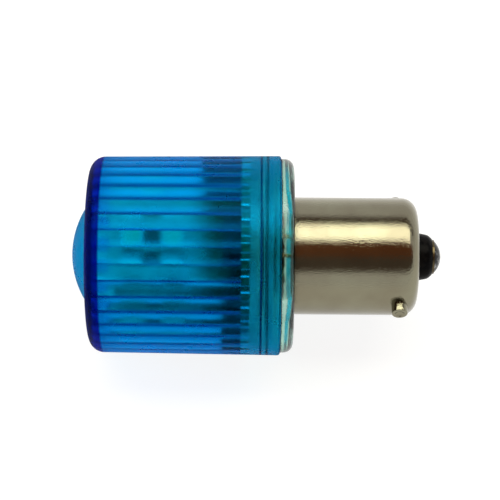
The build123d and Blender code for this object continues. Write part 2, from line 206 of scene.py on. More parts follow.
def surface_grain():
    """A group that gives the fine grain and the slow mottle of a moulded, plated or printed face."""
    group = bpy.data.node_groups.new("surface_grain", "ShaderNodeTree")
    for name, start in (("Grain Size", 0.2 * mm), ("Mottle Size", 3 * mm)):
        socket = group.interface.new_socket(name, in_out="INPUT", socket_type="NodeSocketFloat")
        socket.default_value = start
    for name in ("Grain", "Mottle"):
        group.interface.new_socket(name, in_out="OUTPUT", socket_type="NodeSocketFloat")
    inside = group.nodes.new("NodeGroupInput")
    outside = group.nodes.new("NodeGroupOutput")
    place = object_place(group)
    for name, source, detail in (("Grain", "Grain Size", 1.0), ("Mottle", "Mottle Size", 3.0)):
        node = group.nodes.new("ShaderNodeTexNoise")
        node.inputs["Detail"].default_value = detail
        wire(group, place, node.inputs["Vector"])
        wire(group, maths(group, "DIVIDE", 1.0, inside.outputs[source]), node.inputs["Scale"])
        wire(group, node.outputs["Fac"], outside.inputs[name])
    return group


grain_group = surface_grain()


def grained(tree, grain_size, mottle_size):
    """The grain and the mottle of the group, at the sizes given."""
    node = tree.nodes.new("ShaderNodeGroup")
    node.node_tree = grain_group
    node.inputs["Grain Size"].default_value = grain_size
    node.inputs["Mottle Size"].default_value = mottle_size
    return node.outputs["Grain"], node.outputs["Mottle"]


def nickel_finish():
    """Satin nickel plate with a fine grain that breaks up the edges of what it reflects."""
    finish, tree, shader = new_finish("nickel_plate")
    grain, mottle = grained(tree, 0.17 * mm, 5 * mm)
    wire(tree, mixed(tree, between(tree, mottle, 0.35, 0.65), nickel_shade, nickel_colour),
         shader.inputs["Base Color"])
    shader.inputs["Metallic"].default_value = 1.0
    wire(tree, between(tree, mottle, 0.3, 0.7, 0.08, 0.13), shader.inputs["Roughness"])
    wire(tree, bumped(tree, grain, 0.024 * mm), shader.inputs["Normal"])
    return finish


nickel = nickel_finish()


def shell_outline():
    """The cup's section: outside, end wall, hole and inside."""
    corner_x = shell_end - shell_bulge
    inner_x = corner_x - shell_wall
    return rounded([
        (shell_front, shell_r, shell_rim_edge),
        (corner_x, shell_r, shell_shoulder),
        (shell_end, shell_hole_r, shell_lip),
        (shell_end - shell_wall, shell_hole_r, shell_lip),
        (inner_x, shell_bore_r, shell_shoulder - shell_wall),
        (shell_front, shell_bore_r, shell_rim_edge),
    ], steps=10)


shell_mesh = turned("bayonet_shell_plated", shell_outline())
smooth(shell_mesh, 40)
add_piece("bayonet_shell_plated", shell_mesh, nickel, "nickel_plate", "bayonet_shell")

# Bayonet lugs
# Two turned pins, pushed through the shell and headed over inside it. The punch that spreads the
# head leaves a shallow dimple in the outer end.
lug_edge = 0.12 * mm
lug_shank_r = 0.75 * mm
lug_head_r = 0.95 * mm
lug_head_thick = 0.35 * mm
lug_dimple_r = 0.62 * mm
lug_dimple_depth = 0.28 * mm
dimple_steps = 6
lug_steps = 64


def lug_outline(inner, reach, lug_r):
    """A lug's section, from the middle of its dimple to the middle of its head."""
    ball_r = (lug_dimple_r**2 + lug_dimple_depth**2) / (2 * lug_dimple_depth)
    open_angle = asin(lug_dimple_r / ball_r)
    dimple = []
    for step in range(1, dimple_steps + 1):
        angle = open_angle * step / dimple_steps
        dimple.append((reach - lug_dimple_depth + ball_r * (1 - cos(angle)), ball_r * sin(angle), 0))
    return rounded([(reach - lug_dimple_depth, 0, 0)] + dimple + [
        (reach, lug_r, lug_edge),
        (shell_r - lug_edge, lug_r, 0),
        (shell_r - lug_edge, lug_shank_r, 0),
        (inner + lug_head_thick, lug_shank_r, 0),
        (inner + lug_head_thick, lug_head_r, 0),
        (inner, lug_head_r, lug_edge),
        (inner, 0, 0),
    ])


for node, side in (("bayonet_pin_1", -1), ("bayonet_pin_2", 1)):
    lug_low, lug_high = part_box(node)
    reaches = sorted((side * lug_low.y, side * lug_high.y))

    def beside(along, out, angle):
        """A point round the axis of this lug."""
        return Vector((out * cos(angle), side * along, out * sin(angle)))

    lug_mesh = turned(node + "_plated", lug_outline(reaches[0], reaches[1], lug_high.x), lug_steps, beside)
    smooth(lug_mesh, 40)
    add_piece(node + "_plated", lug_mesh, nickel, "nickel_plate", node)

# Contact insulator
# Black glass, melted into the end of the shell round the eyelet. Its nose stands out of the hole.
glass_tip_r = 2.35 * mm
glass_nose = 1.0 * mm
glass_skirt_edge = 0.3 * mm
eyelet_r = 0.9 * mm
eyelet_wall = 0.25 * mm
glass_black = (0.003, 0.003, 0.0035, 1)
glass_worn = (0.008, 0.007, 0.007, 1)

glass_low, glass_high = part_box("contact_insulator")


def glass_finish():
    """Glossy black glass with a few dull patches."""
    finish, tree, shader = new_finish("black_glass")
    grain, mottle = grained(tree, 0.1 * mm, 0.9 * mm)
    wire(tree, mixed(tree, between(tree, mottle, 0.45, 0.7), glass_black, glass_worn),
         shader.inputs["Base Color"])
    wire(tree, between(tree, mottle, 0.4, 0.7, 0.22, 0.45), shader.inputs["Roughness"])
    wire(tree, bumped(tree, grain, 0.004 * mm), shader.inputs["Normal"])
    shader.inputs["Specular IOR Level"].default_value = 0.03
    return finish


glass_mesh = turned("contact_insulator_glass", rounded([
    (glass_low.x, eyelet_r, 0),
    (glass_low.x, glass_high.z, glass_skirt_edge),
    (shell_end - shell_wall - shell_bulge, glass_high.z, 0),
    (shell_end - shell_wall, shell_hole_r, 0),
    (shell_end, shell_hole_r, 0),
    (glass_high.x - glass_nose / 2, shell_hole_r - glass_nose / 4, glass_nose),
    (glass_high.x, glass_tip_r, glass_skirt_edge / 2),
    (glass_high.x, eyelet_r, 0),
]), round_steps)
smooth(glass_mesh)
black_glass = glass_finish()
add_piece("contact_insulator_glass", glass_mesh, black_glass, "black_glass", "contact_insulator")

# Contact eyelet and solder tip
# A brass eyelet runs through the glass. Solder fills it, holds the lead, and stands up in a dome
# that is the lamp's centre contact. Flux and handling have left dark marks on the dome.
brass_colour = (0.13, 0.1, 0.05, 1)
brass_dull = (0.05, 0.04, 0.025, 1)
solder_bright = (0.42, 0.42, 0.42, 1)
solder_dark = (0.02, 0.02, 0.021, 1)
solder_tip_r = 2.1 * mm
tip_steps = 12

tip_low, tip_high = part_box("contact_solder")
plate_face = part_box("contact_eyelet")[1].x


def brass_finish():
    """Drawn brass, dark with flux and tarnish."""
    finish, tree, shader = new_finish("brass")
    grain, mottle = grained(tree, 0.1 * mm, 1 * mm)
    wire(tree, mixed(tree, mottle, brass_dull, brass_colour), shader.inputs["Base Color"])
    shader.inputs["Metallic"].default_value = 1.0
    wire(tree, between(tree, mottle, 0.3, 0.7, 0.2, 0.4), shader.inputs["Roughness"])
    wire(tree, bumped(tree, grain, 0.004 * mm), shader.inputs["Normal"])
    return finish


def solder_finish(name, light, dark, dark_share):
    """Solder: soft lumps, with dark flux and handling marks over part of it."""
    finish, tree, shader = new_finish(name)
    grain, mottle = grained(tree, 0.12 * mm, 0.8 * mm)
    wire(tree, mixed(tree, between(tree, mottle, dark_share - 0.1, dark_share + 0.1), dark, light),
         shader.inputs["Base Color"])
    shader.inputs["Metallic"].default_value = 1.0
    wire(tree, between(tree, mottle, 0.3, 0.7, 0.35, 0.2), shader.inputs["Roughness"])
    lumps = maths(tree, "ADD", maths(tree, "MULTIPLY", grain, 0.3), mottle)
    wire(tree, bumped(tree, lumps, 0.03 * mm), shader.inputs["Normal"])
    return finish


def tip_outline():
    """The dome's section, with the plug that goes down into the eyelet."""
    high = tip_high.x - plate_face
    ball_r = (solder_tip_r**2 + high**2) / (2 * high)
    dome = []
    for step in range(1, tip_steps + 1):
        angle = asin(solder_tip_r / ball_r) * step / tip_steps
        dome.append((tip_high.x - ball_r * (1 - cos(angle)), ball_r * sin(angle), 0))
    plug_r = eyelet_r - eyelet_wall
    return rounded([(tip_high.x, 0, 0)] + dome + [
        (plate_face, plug_r, 0),
        (tip_low.x, plug_r, 0),
        (tip_low.x, 0, 0),
    ])


brass = brass_finish()
solder = solder_finish("solder", solder_bright, solder_dark, 0.3)
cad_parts["contact_eyelet"].data.materials.clear()
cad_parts["contact_eyelet"].data.materials.append(brass)
tip_mesh = turned("contact_solder_tip", tip_outline(), round_steps)
smooth(tip_mesh)
add_piece("contact_solder_tip", tip_mesh, solder_finish("worn_solder", solder_bright, solder_dark, 0.63),
          "solder", "contact_solder")

# Clear collar
# Moulded in clear plastic: the flange behind the cap, the tube inside it with its snap bead, and
# the spigot in the shell. It is left open at the front, and light runs along it to its edges.
collar_thick = 1.65 * mm
collar_edge = 1.2 * mm
collar_tube_wall = 1.2 * mm
collar_floor = 1.0 * mm
collar_fit = 0.1 * mm
cap_side_wall = 1.15 * mm
bead_back = 2.1 * mm
bead_width = 0.9 * mm
bead_height = 0.25 * mm
socket_gap = 0.05 * mm
spigot_wall = 1.3 * mm
collar_soft_edge = 0.1 * mm
collar_tint = (0.66, 0.76, 0.72, 1)
collar_haze = (0.5, 0.6, 0.56, 1)
clear_ior = 1.49
collar_gloss_kept = 0.7
collar_light_tint = (0.92, 0.96, 0.94, 1)
collar_depth_colour = (0.8, 0.95, 0.9, 1)
collar_depth_density = 120

cap_low, cap_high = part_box("blue_cap")
collar_low, collar_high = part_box("clear_collar")
rim_x = cap_high.x
cap_r = cap_high.z
cap_bore_r = cap_r - cap_side_wall


def let_light_in(tree, shader, tint, gloss_kept):
    """Lamps and bounced light pass straight in, and what is looked at through it still bends. Only
    a share of the outer gloss is kept, as on a dull moulding, and all of it seen from within."""
    path = tree.nodes.new("ShaderNodeLightPath")
    straight = tree.nodes.new("ShaderNodeBsdfTransparent")
    straight.inputs["Color"].default_value = tint
    dull = tree.nodes.new("ShaderNodeBsdfRefraction")
    dull.inputs["IOR"].default_value = shader.inputs["IOR"].default_value
    for name, same in (("Color", "Base Color"), ("Roughness", "Roughness"), ("Normal", "Normal")):
        wire(tree, shader.inputs[same].links[0].from_socket, dull.inputs[name])
    body = tree.nodes.new("ShaderNodeMixShader")
    side = tree.nodes.new("ShaderNodeNewGeometry")
    wire(tree, between(tree, side.outputs["Backfacing"], 0, 1, gloss_kept, 1), body.inputs["Fac"])
    wire(tree, dull.outputs["BSDF"], body.inputs[1])
    wire(tree, shader.outputs["BSDF"], body.inputs[2])
    mix = tree.nodes.new("ShaderNodeMixShader")
    wire(tree, maths(tree, "MAXIMUM", path.outputs["Is Shadow Ray"], path.outputs["Is Diffuse Ray"]),
         mix.inputs["Fac"])
    wire(tree, body.outputs["Shader"], mix.inputs[1])
    wire(tree, straight.outputs["BSDF"], mix.inputs[2])
    wire(tree, mix.outputs["Shader"], tree.nodes["Material Output"].inputs["Surface"])


def absorb(tree, colour, density):
    """What the plastic takes out of the light that runs through it."""
    volume = tree.nodes.new("ShaderNodeVolumeAbsorption")
    volume.inputs["Color"].default_value = colour
    volume.inputs["Density"].default_value = density
    wire(tree, volume.outputs["Volume"], tree.nodes["Material Output"].inputs["Volume"])


def clear_plastic_finish():
    """Clear plastic, a little green in the depth, with fine flow marks."""
    finish, tree, shader = new_finish("clear_plastic")
    grain, mottle = grained(tree, 0.15 * mm, 2.5 * mm)
    wire(tree, mixed(tree, between(tree, mottle, 0.35, 0.65), collar_haze, collar_tint),
         shader.inputs["Base Color"])
    wire(tree, between(tree, mottle, 0.3, 0.7, 0.04, 0.12), shader.inputs["Roughness"])
    wire(tree, bumped(tree, maths(tree, "ADD", maths(tree, "MULTIPLY", grain, 0.2), mottle), 0.03 * mm),
         shader.inputs["Normal"])
    shader.inputs["Transmission Weight"].default_value = 1.0
    shader.inputs["IOR"].default_value = clear_ior
    let_light_in(tree, shader, collar_light_tint, collar_gloss_kept)
    absorb(tree, collar_depth_colour, collar_depth_density)
    return finish


def collar_outline():
    """The collar's section: tube, bead, flange, socket, spigot and floor."""
    tube_r = cap_bore_r - collar_fit
    bore_r = tube_r - collar_tube_wall
    bead_x = rim_x - bead_back
    spigot_r = shell_bore_r - socket_gap
    rear_x = rim_x + collar_thick
    spigot_end = collar_high.x
    return rounded([
        (collar_low.x, bore_r, collar_soft_edge),
        (collar_low.x, tube_r, collar_soft_edge),
        (bead_x - bead_width / 2, tube_r, 0),
        (bead_x, tube_r + bead_height, bead_width / 4),
        (bead_x + bead_width / 2, tube_r, 0),
        (rim_x, tube_r, 0),
        (rim_x, collar_high.z, collar_soft_edge),
        (rear_x, collar_high.z, collar_edge),
        (rear_x, shell_r + socket_gap, collar_soft_edge),
        (shell_front, shell_r + socket_gap, 0),
        (shell_front, spigot_r, 0),
        (spigot_end, spigot_r, collar_soft_edge),
        (spigot_end, spigot_r - spigot_wall, collar_soft_edge),
        (rim_x - collar_floor, spigot_r - spigot_wall, collar_soft_edge),
        (rim_x - collar_floor, bore_r, collar_soft_edge),
    ])


collar_mesh = turned("clear_collar_moulding", collar_outline())
smooth(collar_mesh, 40)
add_piece("clear_collar_moulding", collar_mesh, clear_plastic_finish(), "clear_plastic", "clear_collar")

# Circuit boards
# A green base board, clamped between the collar's tube and the cap's flutes, carries a square tower
# of four white boards, soldered at their feet and closed by a fifth. White boards return the light.
board_green = (0.012, 0.075, 0.03, 1)
board_green_track = (0.03, 0.13, 0.055, 1)
board_white = (0.62, 0.66, 0.62, 1)
board_white_track = (0.5, 0.54, 0.5, 1)
track_pitch = 2.2 * mm
green_foot_reach = 5.5 * mm
green_foot_fade = 3.0 * mm


def board_finish(name, mask_colour, track_colour, gloss, green_from=None):
    """Solder mask over copper tracks, which stand up under it. Given a start, the colour turns to the base
    board's green from there to the foot.
    """
    finish, tree, shader = new_finish(name)
    grain, mottle = grained(tree, 0.25 * mm, 2 * mm)
    cells = tree.nodes.new("ShaderNodeTexVoronoi")
    cells.feature = "DISTANCE_TO_EDGE"
    cells.inputs["Scale"].default_value = 1 / track_pitch
    cells.inputs["Randomness"].default_value = 0.6
    wire(tree, object_place(tree), cells.inputs["Vector"])
    track = between(tree, cells.outputs["Distance"], 0.07, 0.1)
    speckled = mixed(tree, between(tree, grain, 0.3, 0.7, 0.0, 0.25), track_colour, mask_colour)
    colour = mixed(tree, track, mask_colour, speckled)
    # Past the given start the colour turns to the base board's green, with a ragged edge, darker towards the
    # foot.
    if green_from is not None:
        place = tree.nodes.new("ShaderNodeSeparateXYZ")
        wire(tree, object_place(tree), place.inputs["Vector"])
        ragged = maths(tree, "ADD", place.outputs["X"], maths(tree, "MULTIPLY", mottle, 2 * mm))
        bare = between(tree, ragged, green_from, green_from + green_foot_fade)
        colour = mixed(tree, bare, colour, board_green)
    wire(tree, colour, shader.inputs["Base Color"])
    wire(tree, between(tree, mottle, 0.3, 0.7, gloss, gloss + 0.15), shader.inputs["Roughness"])
    wire(tree, bumped(tree, track, 0.03 * mm), shader.inputs["Normal"])
    return finish


def refinish(finish, *nodes):
    """Give nodes whose shape is already right a better finish."""
    for node in nodes:
        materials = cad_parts[node].data.materials
        materials.clear()
        materials.append(finish)


refinish(board_finish("green_board", board_green, board_green_track, 0.35), "base_board")
# The white boards turn to the base board's green for their last stretch towards the foot.
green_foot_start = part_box("base_board")[0].x - green_foot_reach
refinish(board_finish("white_board", board_white, board_white_track, 0.4, green_foot_start), "top_board",
         *[f"tower_board_{number}" for number in range(1, 5)])
refinish(solder, "contact_lead_solder", "shell_lead_solder", "shell_solder",
         *[f"tower_solder_{number}" for number in range(1, 5)])

# LEDs and their resistors
# Surface-mount LEDs: a white moulded body with a cut corner, a bowl filled with clear resin over a
# yellow phosphor, and a tinned foot at each end. Between the two of a pair lies a chip resistor.
led_long = 3.5 * mm
led_wide = 2.8 * mm
led_high = 1.9 * mm
led_edge = 0.1 * mm
led_cut = 0.5 * mm
led_window_r = 1.2 * mm
led_floor_r = 0.85 * mm
led_bowl = 0.55 * mm
led_steps = 40
resin_below_rim = 0.12 * mm
resin_sag = 0.04 * mm
led_foot = (0.5 * mm, 2.0 * mm, 0.35 * mm)
led_foot_proud = 0.02 * mm
led_foot_edge = 0.04 * mm
led_white = (0.92, 0.93, 0.92, 1)
led_cream = (0.85, 0.86, 0.82, 1)
phosphor_colour = (0.85, 0.8, 0.5, 1)
phosphor_pale = (0.9, 0.88, 0.7, 1)
tin_colour = (0.7, 0.7, 0.69, 1)
tin_dull = (0.5, 0.5, 0.49, 1)
chip_black = (0.05, 0.055, 0.055, 1)
chip_worn = (0.09, 0.1, 0.1, 1)

led_nodes = [f"side_led_{number}" for number in range(1, 7)] + ["top_led"]


def led_place(node):
    """The middle of an LED's foot, and how it is turned to face outward or towards the dome."""
    low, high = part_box(node)
    middle = (low + high) / 2
    if node == "top_led":
        turn_low, turn_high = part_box("side_led_1")
        across = (turn_low + turn_high) / 2
        face = atan2(across.z, across.y)
        out = Vector((-1, 0, 0))
        along = Vector((0, cos(face), sin(face)))
    else:
        face = atan2(middle.z, middle.y)
        out = Vector((0, cos(face), sin(face)))
        along = Vector((1, 0, 0))
    return middle - out * led_high / 2, along, out


def turn_of(along, out):
    """The turn that takes X to one direction and Z to another."""
    return Matrix((along, out.cross(along), out)).transposed().to_euler()


def copies_tree():
    """Geometry Nodes: a copy of one part at each point, turned as the point says, in one finish."""
    tree = bpy.data.node_groups.new("placed_copies", "GeometryNodeTree")
    for name, kind in (("Geometry", "NodeSocketGeometry"), ("Part", "NodeSocketObject"),
                       ("Finish", "NodeSocketMaterial")):
        tree.interface.new_socket(name, in_out="INPUT", socket_type=kind)
    tree.interface.new_socket("Geometry", in_out="OUTPUT", socket_type="NodeSocketGeometry")
    inside = tree.nodes.new("NodeGroupInput")
    outside = tree.nodes.new("NodeGroupOutput")
    part = tree.nodes.new("GeometryNodeObjectInfo")
    turn = tree.nodes.new("GeometryNodeInputNamedAttribute")
    turn.data_type = "FLOAT_VECTOR"
    turn.inputs["Name"].default_value = "turn"
    turned_by = tree.nodes.new("FunctionNodeEulerToRotation")
    copies = tree.nodes.new("GeometryNodeInstanceOnPoints")
    real = tree.nodes.new("GeometryNodeRealizeInstances")
    painted = tree.nodes.new("GeometryNodeSetMaterial")
    wire(tree, inside.outputs["Part"], part.inputs["Object"])
    wire(tree, inside.outputs["Geometry"], copies.inputs["Points"])
    wire(tree, part.outputs["Geometry"], copies.inputs["Instance"])
    wire(tree, turn.outputs["Attribute"], turned_by.inputs["Euler"])
    wire(tree, turned_by.outputs["Rotation"], copies.inputs["Rotation"])
    wire(tree, copies.outputs["Instances"], real.inputs["Geometry"])
    wire(tree, real.outputs["Geometry"], painted.inputs["Geometry"])
    wire(tree, inside.outputs["Finish"], painted.inputs["Material"])
    wire(tree, painted.outputs["Geometry"], outside.inputs["Geometry"])
    return tree


copies_group = copies_tree()


def run_tree(name, mesh, tree, inputs):
    """The plain mesh that a Geometry Nodes tree makes of a mesh, with the inputs named."""
    holder = bpy.data.objects.new(name, mesh)
    bpy.context.scene.collection.objects.link(holder)
    modifier = holder.modifiers.new(name, "NODES")
    modifier.node_group = tree
    for socket in tree.interface.items_tree:
        if socket.item_type == "SOCKET" and socket.in_out == "INPUT" and socket.name in inputs:
            modifier[socket.identifier] = inputs[socket.name]
    bpy.context.view_layer.update()
    graph = bpy.context.evaluated_depsgraph_get()
    made = bpy.data.meshes.new_from_object(holder.evaluated_get(graph), depsgraph=graph)
    made.name = name
    bpy.data.objects.remove(holder)
    return made


def place_copies(name, part_mesh, places, finish):
    """One mesh that holds a copy of a part at each place."""
    points = bpy.data.meshes.new(name + "_points")
    points.from_pydata([place for place, _, _ in places], [], [])
    turns = points.attributes.new("turn", "FLOAT_VECTOR", "POINT")
    for datum, (_, along, out) in zip(turns.data, places):
        datum.vector = turn_of(along, out)
    part = bpy.data.objects.new(name + "_part", part_mesh)
    made = run_tree(name, points, copies_group, {"Part": part, "Finish": finish})
    bpy.data.objects.remove(part)
    return made


def block(shape, size, middle):
    """Add a plain block to a bmesh."""
    fit = Matrix.Translation(middle) @ Matrix.Diagonal((*size, 1))
    bmesh.ops.create_cube(shape, size=1, matrix=fit)


def led_body_mesh():
    """A moulded body with a cut corner, softened edges and a round bowl in its face."""
    shape = bmesh.new()
    half_wide, half_long = led_wide / 2, led_long / 2
    corners = [(-half_wide, -half_long), (half_wide - led_cut, -half_long),
               (half_wide, -half_long + led_cut), (half_wide, half_long), (-half_wide, half_long)]
    floor_high = led_high - led_bowl

    def rim_point(angle):
        """Where a ray from the middle meets the outline of the body."""
        ray = Vector((cos(angle), sin(angle)))
        reach = 1.0
        for (ax, ay), (bx, by) in zip(corners, corners[1:] + corners[:1]):
            side = Vector((by - ay, ax - bx)).normalized()
            toward = side.dot(ray)
            if toward > next_to_nothing:
                reach = min(reach, side.dot(Vector((ax, ay))) / toward)
        return ray * reach

    angles = sorted([2 * pi * i / led_steps for i in range(led_steps)] +
                    [atan2(y, x) % (2 * pi) for x, y in corners])
    rows = []
    for high, inset in ((0, 0), (led_high - led_edge, 0), (led_high, led_edge)):
        rows.append([Vector((*(rim_point(a) * (1 - inset / half_long)), high)) for a in angles])
    for out, high in ((led_window_r, led_high), (led_floor_r, floor_high)):
        rows.append([Vector((out * cos(a), out * sin(a), high)) for a in angles])
    rings = [[shape.verts.new(point) for point in row] for row in rows]
    for ring, following in zip(rings, rings[1:]):
        for i in range(len(angles)):
            j = (i + 1) % len(angles)
            shape.faces.new((ring[i], ring[j], following[j], following[i]))
    shape.faces.new(rings[0])
    shape.faces.new(rings[-1])
    bmesh.ops.remove_doubles(shape, verts=shape.verts, dist=1e-7)
    bmesh.ops.recalc_face_normals(shape, faces=shape.faces)
    mesh = bpy.data.meshes.new("led_body")
    shape.to_mesh(mesh)
    shape.free()
    smooth(mesh, 25)
    return mesh


def led_resin_mesh():
    """The phosphor-filled resin, a shallow disc that fills the bowl almost to its rim."""
    top = led_high - resin_below_rim
    floor = led_high - led_bowl

    def over_foot(along, out, angle):
        """A point round the middle of an LED's face."""
        return Vector((out * cos(angle), out * sin(angle), along))

    share = (top - floor) / led_bowl
    top_r = led_floor_r + (led_window_r - led_floor_r) * share
    mesh = turned("led_resin", [Vector((floor, 0)), Vector((floor, led_floor_r)), Vector((top, top_r)),
                                Vector((top - resin_sag, 0))], led_steps, over_foot)
    smooth(mesh)
    return mesh


def led_feet_mesh():
    """The tinned feet at the two ends."""
    wide, across, high = led_foot
    shape = bmesh.new()
    for end in (-1, 1):
        block(shape, (across, wide, high), (0, end * (led_long - wide) / 2, high / 2))
    for vert in shape.verts:
        vert.co.y += led_foot_proud if vert.co.y > 0 else -led_foot_proud
    bmesh.ops.bevel(shape, geom=shape.edges, offset=led_foot_edge, segments=2, affect="EDGES")
    mesh = bpy.data.meshes.new("led_feet")
    shape.to_mesh(mesh)
    shape.free()
    return mesh


def moulding_finish(name, colour, shade, rough, grain_size=0.15 * mm, dent=0.006 * mm):
    """An opaque moulding or lacquer with a fine grain and a slow change of tone."""
    finish, tree, shader = new_finish(name)
    grain, mottle = grained(tree, grain_size, 1.2 * mm)
    wire(tree, mixed(tree, between(tree, mottle, 0.35, 0.65), shade, colour), shader.inputs["Base Color"])
    wire(tree, between(tree, grain, 0.3, 0.7, rough - 0.06, rough + 0.06), shader.inputs["Roughness"])
    wire(tree, bumped(tree, grain, dent), shader.inputs["Normal"])
    return finish


led_places = [led_place(node) for node in led_nodes]
led_body = moulding_finish("led_body", led_white, led_cream, 0.45)
led_resin = moulding_finish("led_resin", phosphor_colour, phosphor_pale, 0.25)
tinned = moulding_finish("tinned_feet", tin_colour, tin_dull, 0.3)
tinned.node_tree.nodes["Principled BSDF"].inputs["Metallic"].default_value = 1.0

add_piece("led_bodies", place_copies("led_bodies", led_body_mesh(), led_places, led_body), None,
          "led_body", *led_nodes)
add_piece("led_resin_fills", place_copies("led_resin_fills", led_resin_mesh(), led_places, led_resin),
          None, "led_body")
add_piece("led_feet", place_copies("led_feet", led_feet_mesh(), led_places, tinned), None, "solder")

# Parts on the boards
# Chip resistors in black glaze, an electrolytic can in a dark sleeve, and a bridge rectifier and a
# surge diode moulded in black, all soldered by their flat legs.
sleeve_dark = (0.01, 0.012, 0.02, 1)
sleeve_worn = (0.03, 0.035, 0.05, 1)
can_metal = (0.62, 0.63, 0.64, 1)
can_bare_top = 0.1 * mm
moulding_black = (0.014, 0.014, 0.015, 1)
moulding_worn = (0.03, 0.03, 0.03, 1)
copper_colour = (0.75, 0.36, 0.2, 1)
copper_dull = (0.6, 0.27, 0.15, 1)

refinish(moulding_finish("chip_glaze", chip_black, chip_worn, 0.25), "led_resistor_1", "led_resistor_2",
         "ballast_resistor_1", "ballast_resistor_2")
refinish(moulding_finish("black_moulding", moulding_black, moulding_worn, 0.5),
         "bridge_rectifier", "surge_diode")


def sleeve_finish():
    """A dark shrink sleeve that leaves the aluminium top of the can bare."""
    finish, tree, shader = new_finish("can_sleeve")
    grain, mottle = grained(tree, 0.2 * mm, 1.5 * mm)
    place = tree.nodes.new("ShaderNodeSeparateXYZ")
    wire(tree, object_place(tree), place.inputs["Vector"])
    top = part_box("reservoir_capacitor")[0].x
    bare = between(tree, place.outputs["X"], top + 2 * can_bare_top, top + can_bare_top)
    sleeve = mixed(tree, between(tree, mottle, 0.35, 0.65), sleeve_dark, sleeve_worn)
    wire(tree, mixed(tree, bare, sleeve, can_metal), shader.inputs["Base Color"])
    wire(tree, bare, shader.inputs["Metallic"])
    wire(tree, between(tree, grain, 0.3, 0.7, 0.3, 0.4), shader.inputs["Roughness"])
    wire(tree, bumped(tree, mottle, 0.03 * mm), shader.inputs["Normal"])
    return finish


refinish(sleeve_finish(), "reservoir_capacitor")
copper = moulding_finish("copper_lead", copper_colour, copper_dull, 0.25)
copper.node_tree.nodes["Principled BSDF"].inputs["Metallic"].default_value = 1.0
refinish(copper, "contact_lead", "shell_lead")

# Blue cap
# One moulding of clear blue plastic that snaps over the collar's bead. Thirty-six flutes round its
# bore, a lens in its end and a row of small teeth at the foot of the flutes spread the light.
cap_draft = 0.25 * mm
cap_edge = 1.95 * mm
cap_end_wall = 1.2 * mm
dome_high = 2.3 * mm
dome_base_r = 6.8 * mm
dome_rows = 14
flute_count = 36
flute_steps = 12
flute_turn = radians(4.0)
flute_depth = 0.7 * mm
flute_swell = 1.6
flute_run_out = (0.05 * mm, 0.95)
seat_depth = 5.0 * mm
tooth_height = 0.35 * mm
tooth_width = 0.7 * mm
tooth_long = 1.1 * mm
groove_gap = 0.08 * mm
cap_soft_edge = 0.08 * mm
cap_rim_edge = 0.3 * mm
cap_tint = (0.76, 0.94, 1.0, 1)
cap_tint_deep = (0.68, 0.88, 1.0, 1)
# Painted shade: the deep navy painted into the inner corner where the end wall meets the flutes.
cap_painted_corner_shade = (0.0, 0.035, 0.5, 1)
cap_gloss_tint = (0.03, 0.3, 0.6, 1)
cap_depth_colour = (0.0, 0.903, 0.972, 1)
cap_depth_density = 2600
cap_ior = 1.585
cap_gloss_kept = 0.12
cap_light_tint = (0.95, 0.98, 1.0, 1)
corner_shade_x = (0.75 * mm, 0.5 * mm)
corner_shade_r = (-0.6 * mm, 0.3 * mm)

flute_pitch = 2 * pi / flute_count
flute_crest_r = cap_bore_r - flute_depth
flute_share = flute_swell * sin(flute_pitch / 2)
flute_r = flute_crest_r * flute_share / (1 - flute_share)
flute_centre_r = flute_crest_r + flute_r
dome_x = cap_low.x
face_x = dome_x + dome_high
cavity_x = face_x + cap_end_wall
foot_x = rim_x - seat_depth


def cap_outline():
    """The cap's section as (along, out, flute, tooth): outside from the dome to the rim, then the
    inside back to the middle. Flute and tooth mark the rows that the two rules shape."""
    ball_r = (dome_base_r**2 + dome_high**2) / (2 * dome_high)
    open_angle = asin(dome_base_r / ball_r)
    dome = []
    for step in range(dome_rows + 1):
        angle = open_angle * step / dome_rows
        dome.append((dome_x + ball_r * (1 - cos(angle)), ball_r * sin(angle)))
    hollow_r = ball_r - cap_end_wall
    hollow_centre = dome_x + ball_r
    hollow_angle = asin(sqrt(hollow_r**2 - (hollow_centre - cavity_x)**2) / hollow_r)
    hollow = []
    for step in range(dome_rows + 1):
        angle = hollow_angle * (1 - step / dome_rows)
        hollow.append((hollow_centre - hollow_r * cos(angle), hollow_r * sin(angle)))
    bead_x = rim_x - bead_back
    groove_r = cap_bore_r - collar_fit + bead_height + groove_gap
    groove_half = bead_width / 2 + groove_gap
    wall = rounded([
        (face_x, 0, 0),
        (face_x, cap_r - cap_draft, cap_edge),
        (rim_x, cap_r, cap_rim_edge),
        (rim_x, cap_bore_r, cap_soft_edge),
        (bead_x + groove_half, cap_bore_r, 0),
        (bead_x + groove_half / 2, groove_r, 0),
        (bead_x - groove_half / 2, groove_r, 0),
        (bead_x - groove_half, cap_bore_r, 0),
    ], steps=12)[1:]
    ledge = 0.01 * mm
    run_out, run_share = flute_run_out
    rows = [(x, r, 0, 0) for x, r in dome] + [(x, r, 0, 0) for x, r in wall]
    rows += [(foot_x + tooth_long, cap_bore_r, 0, 0), (foot_x + tooth_long - ledge, cap_bore_r, 0, 1)]
    rows += [(foot_x + ledge, cap_bore_r, 0, 1), (foot_x, flute_centre_r, 1, 0)]
    rows += [(cavity_x + ledge, flute_centre_r, 1, 0), (cavity_x, flute_centre_r - run_out, run_share, 0)]
    rows += [(x, r, 0, 0) for x, r in hollow]
    return rows


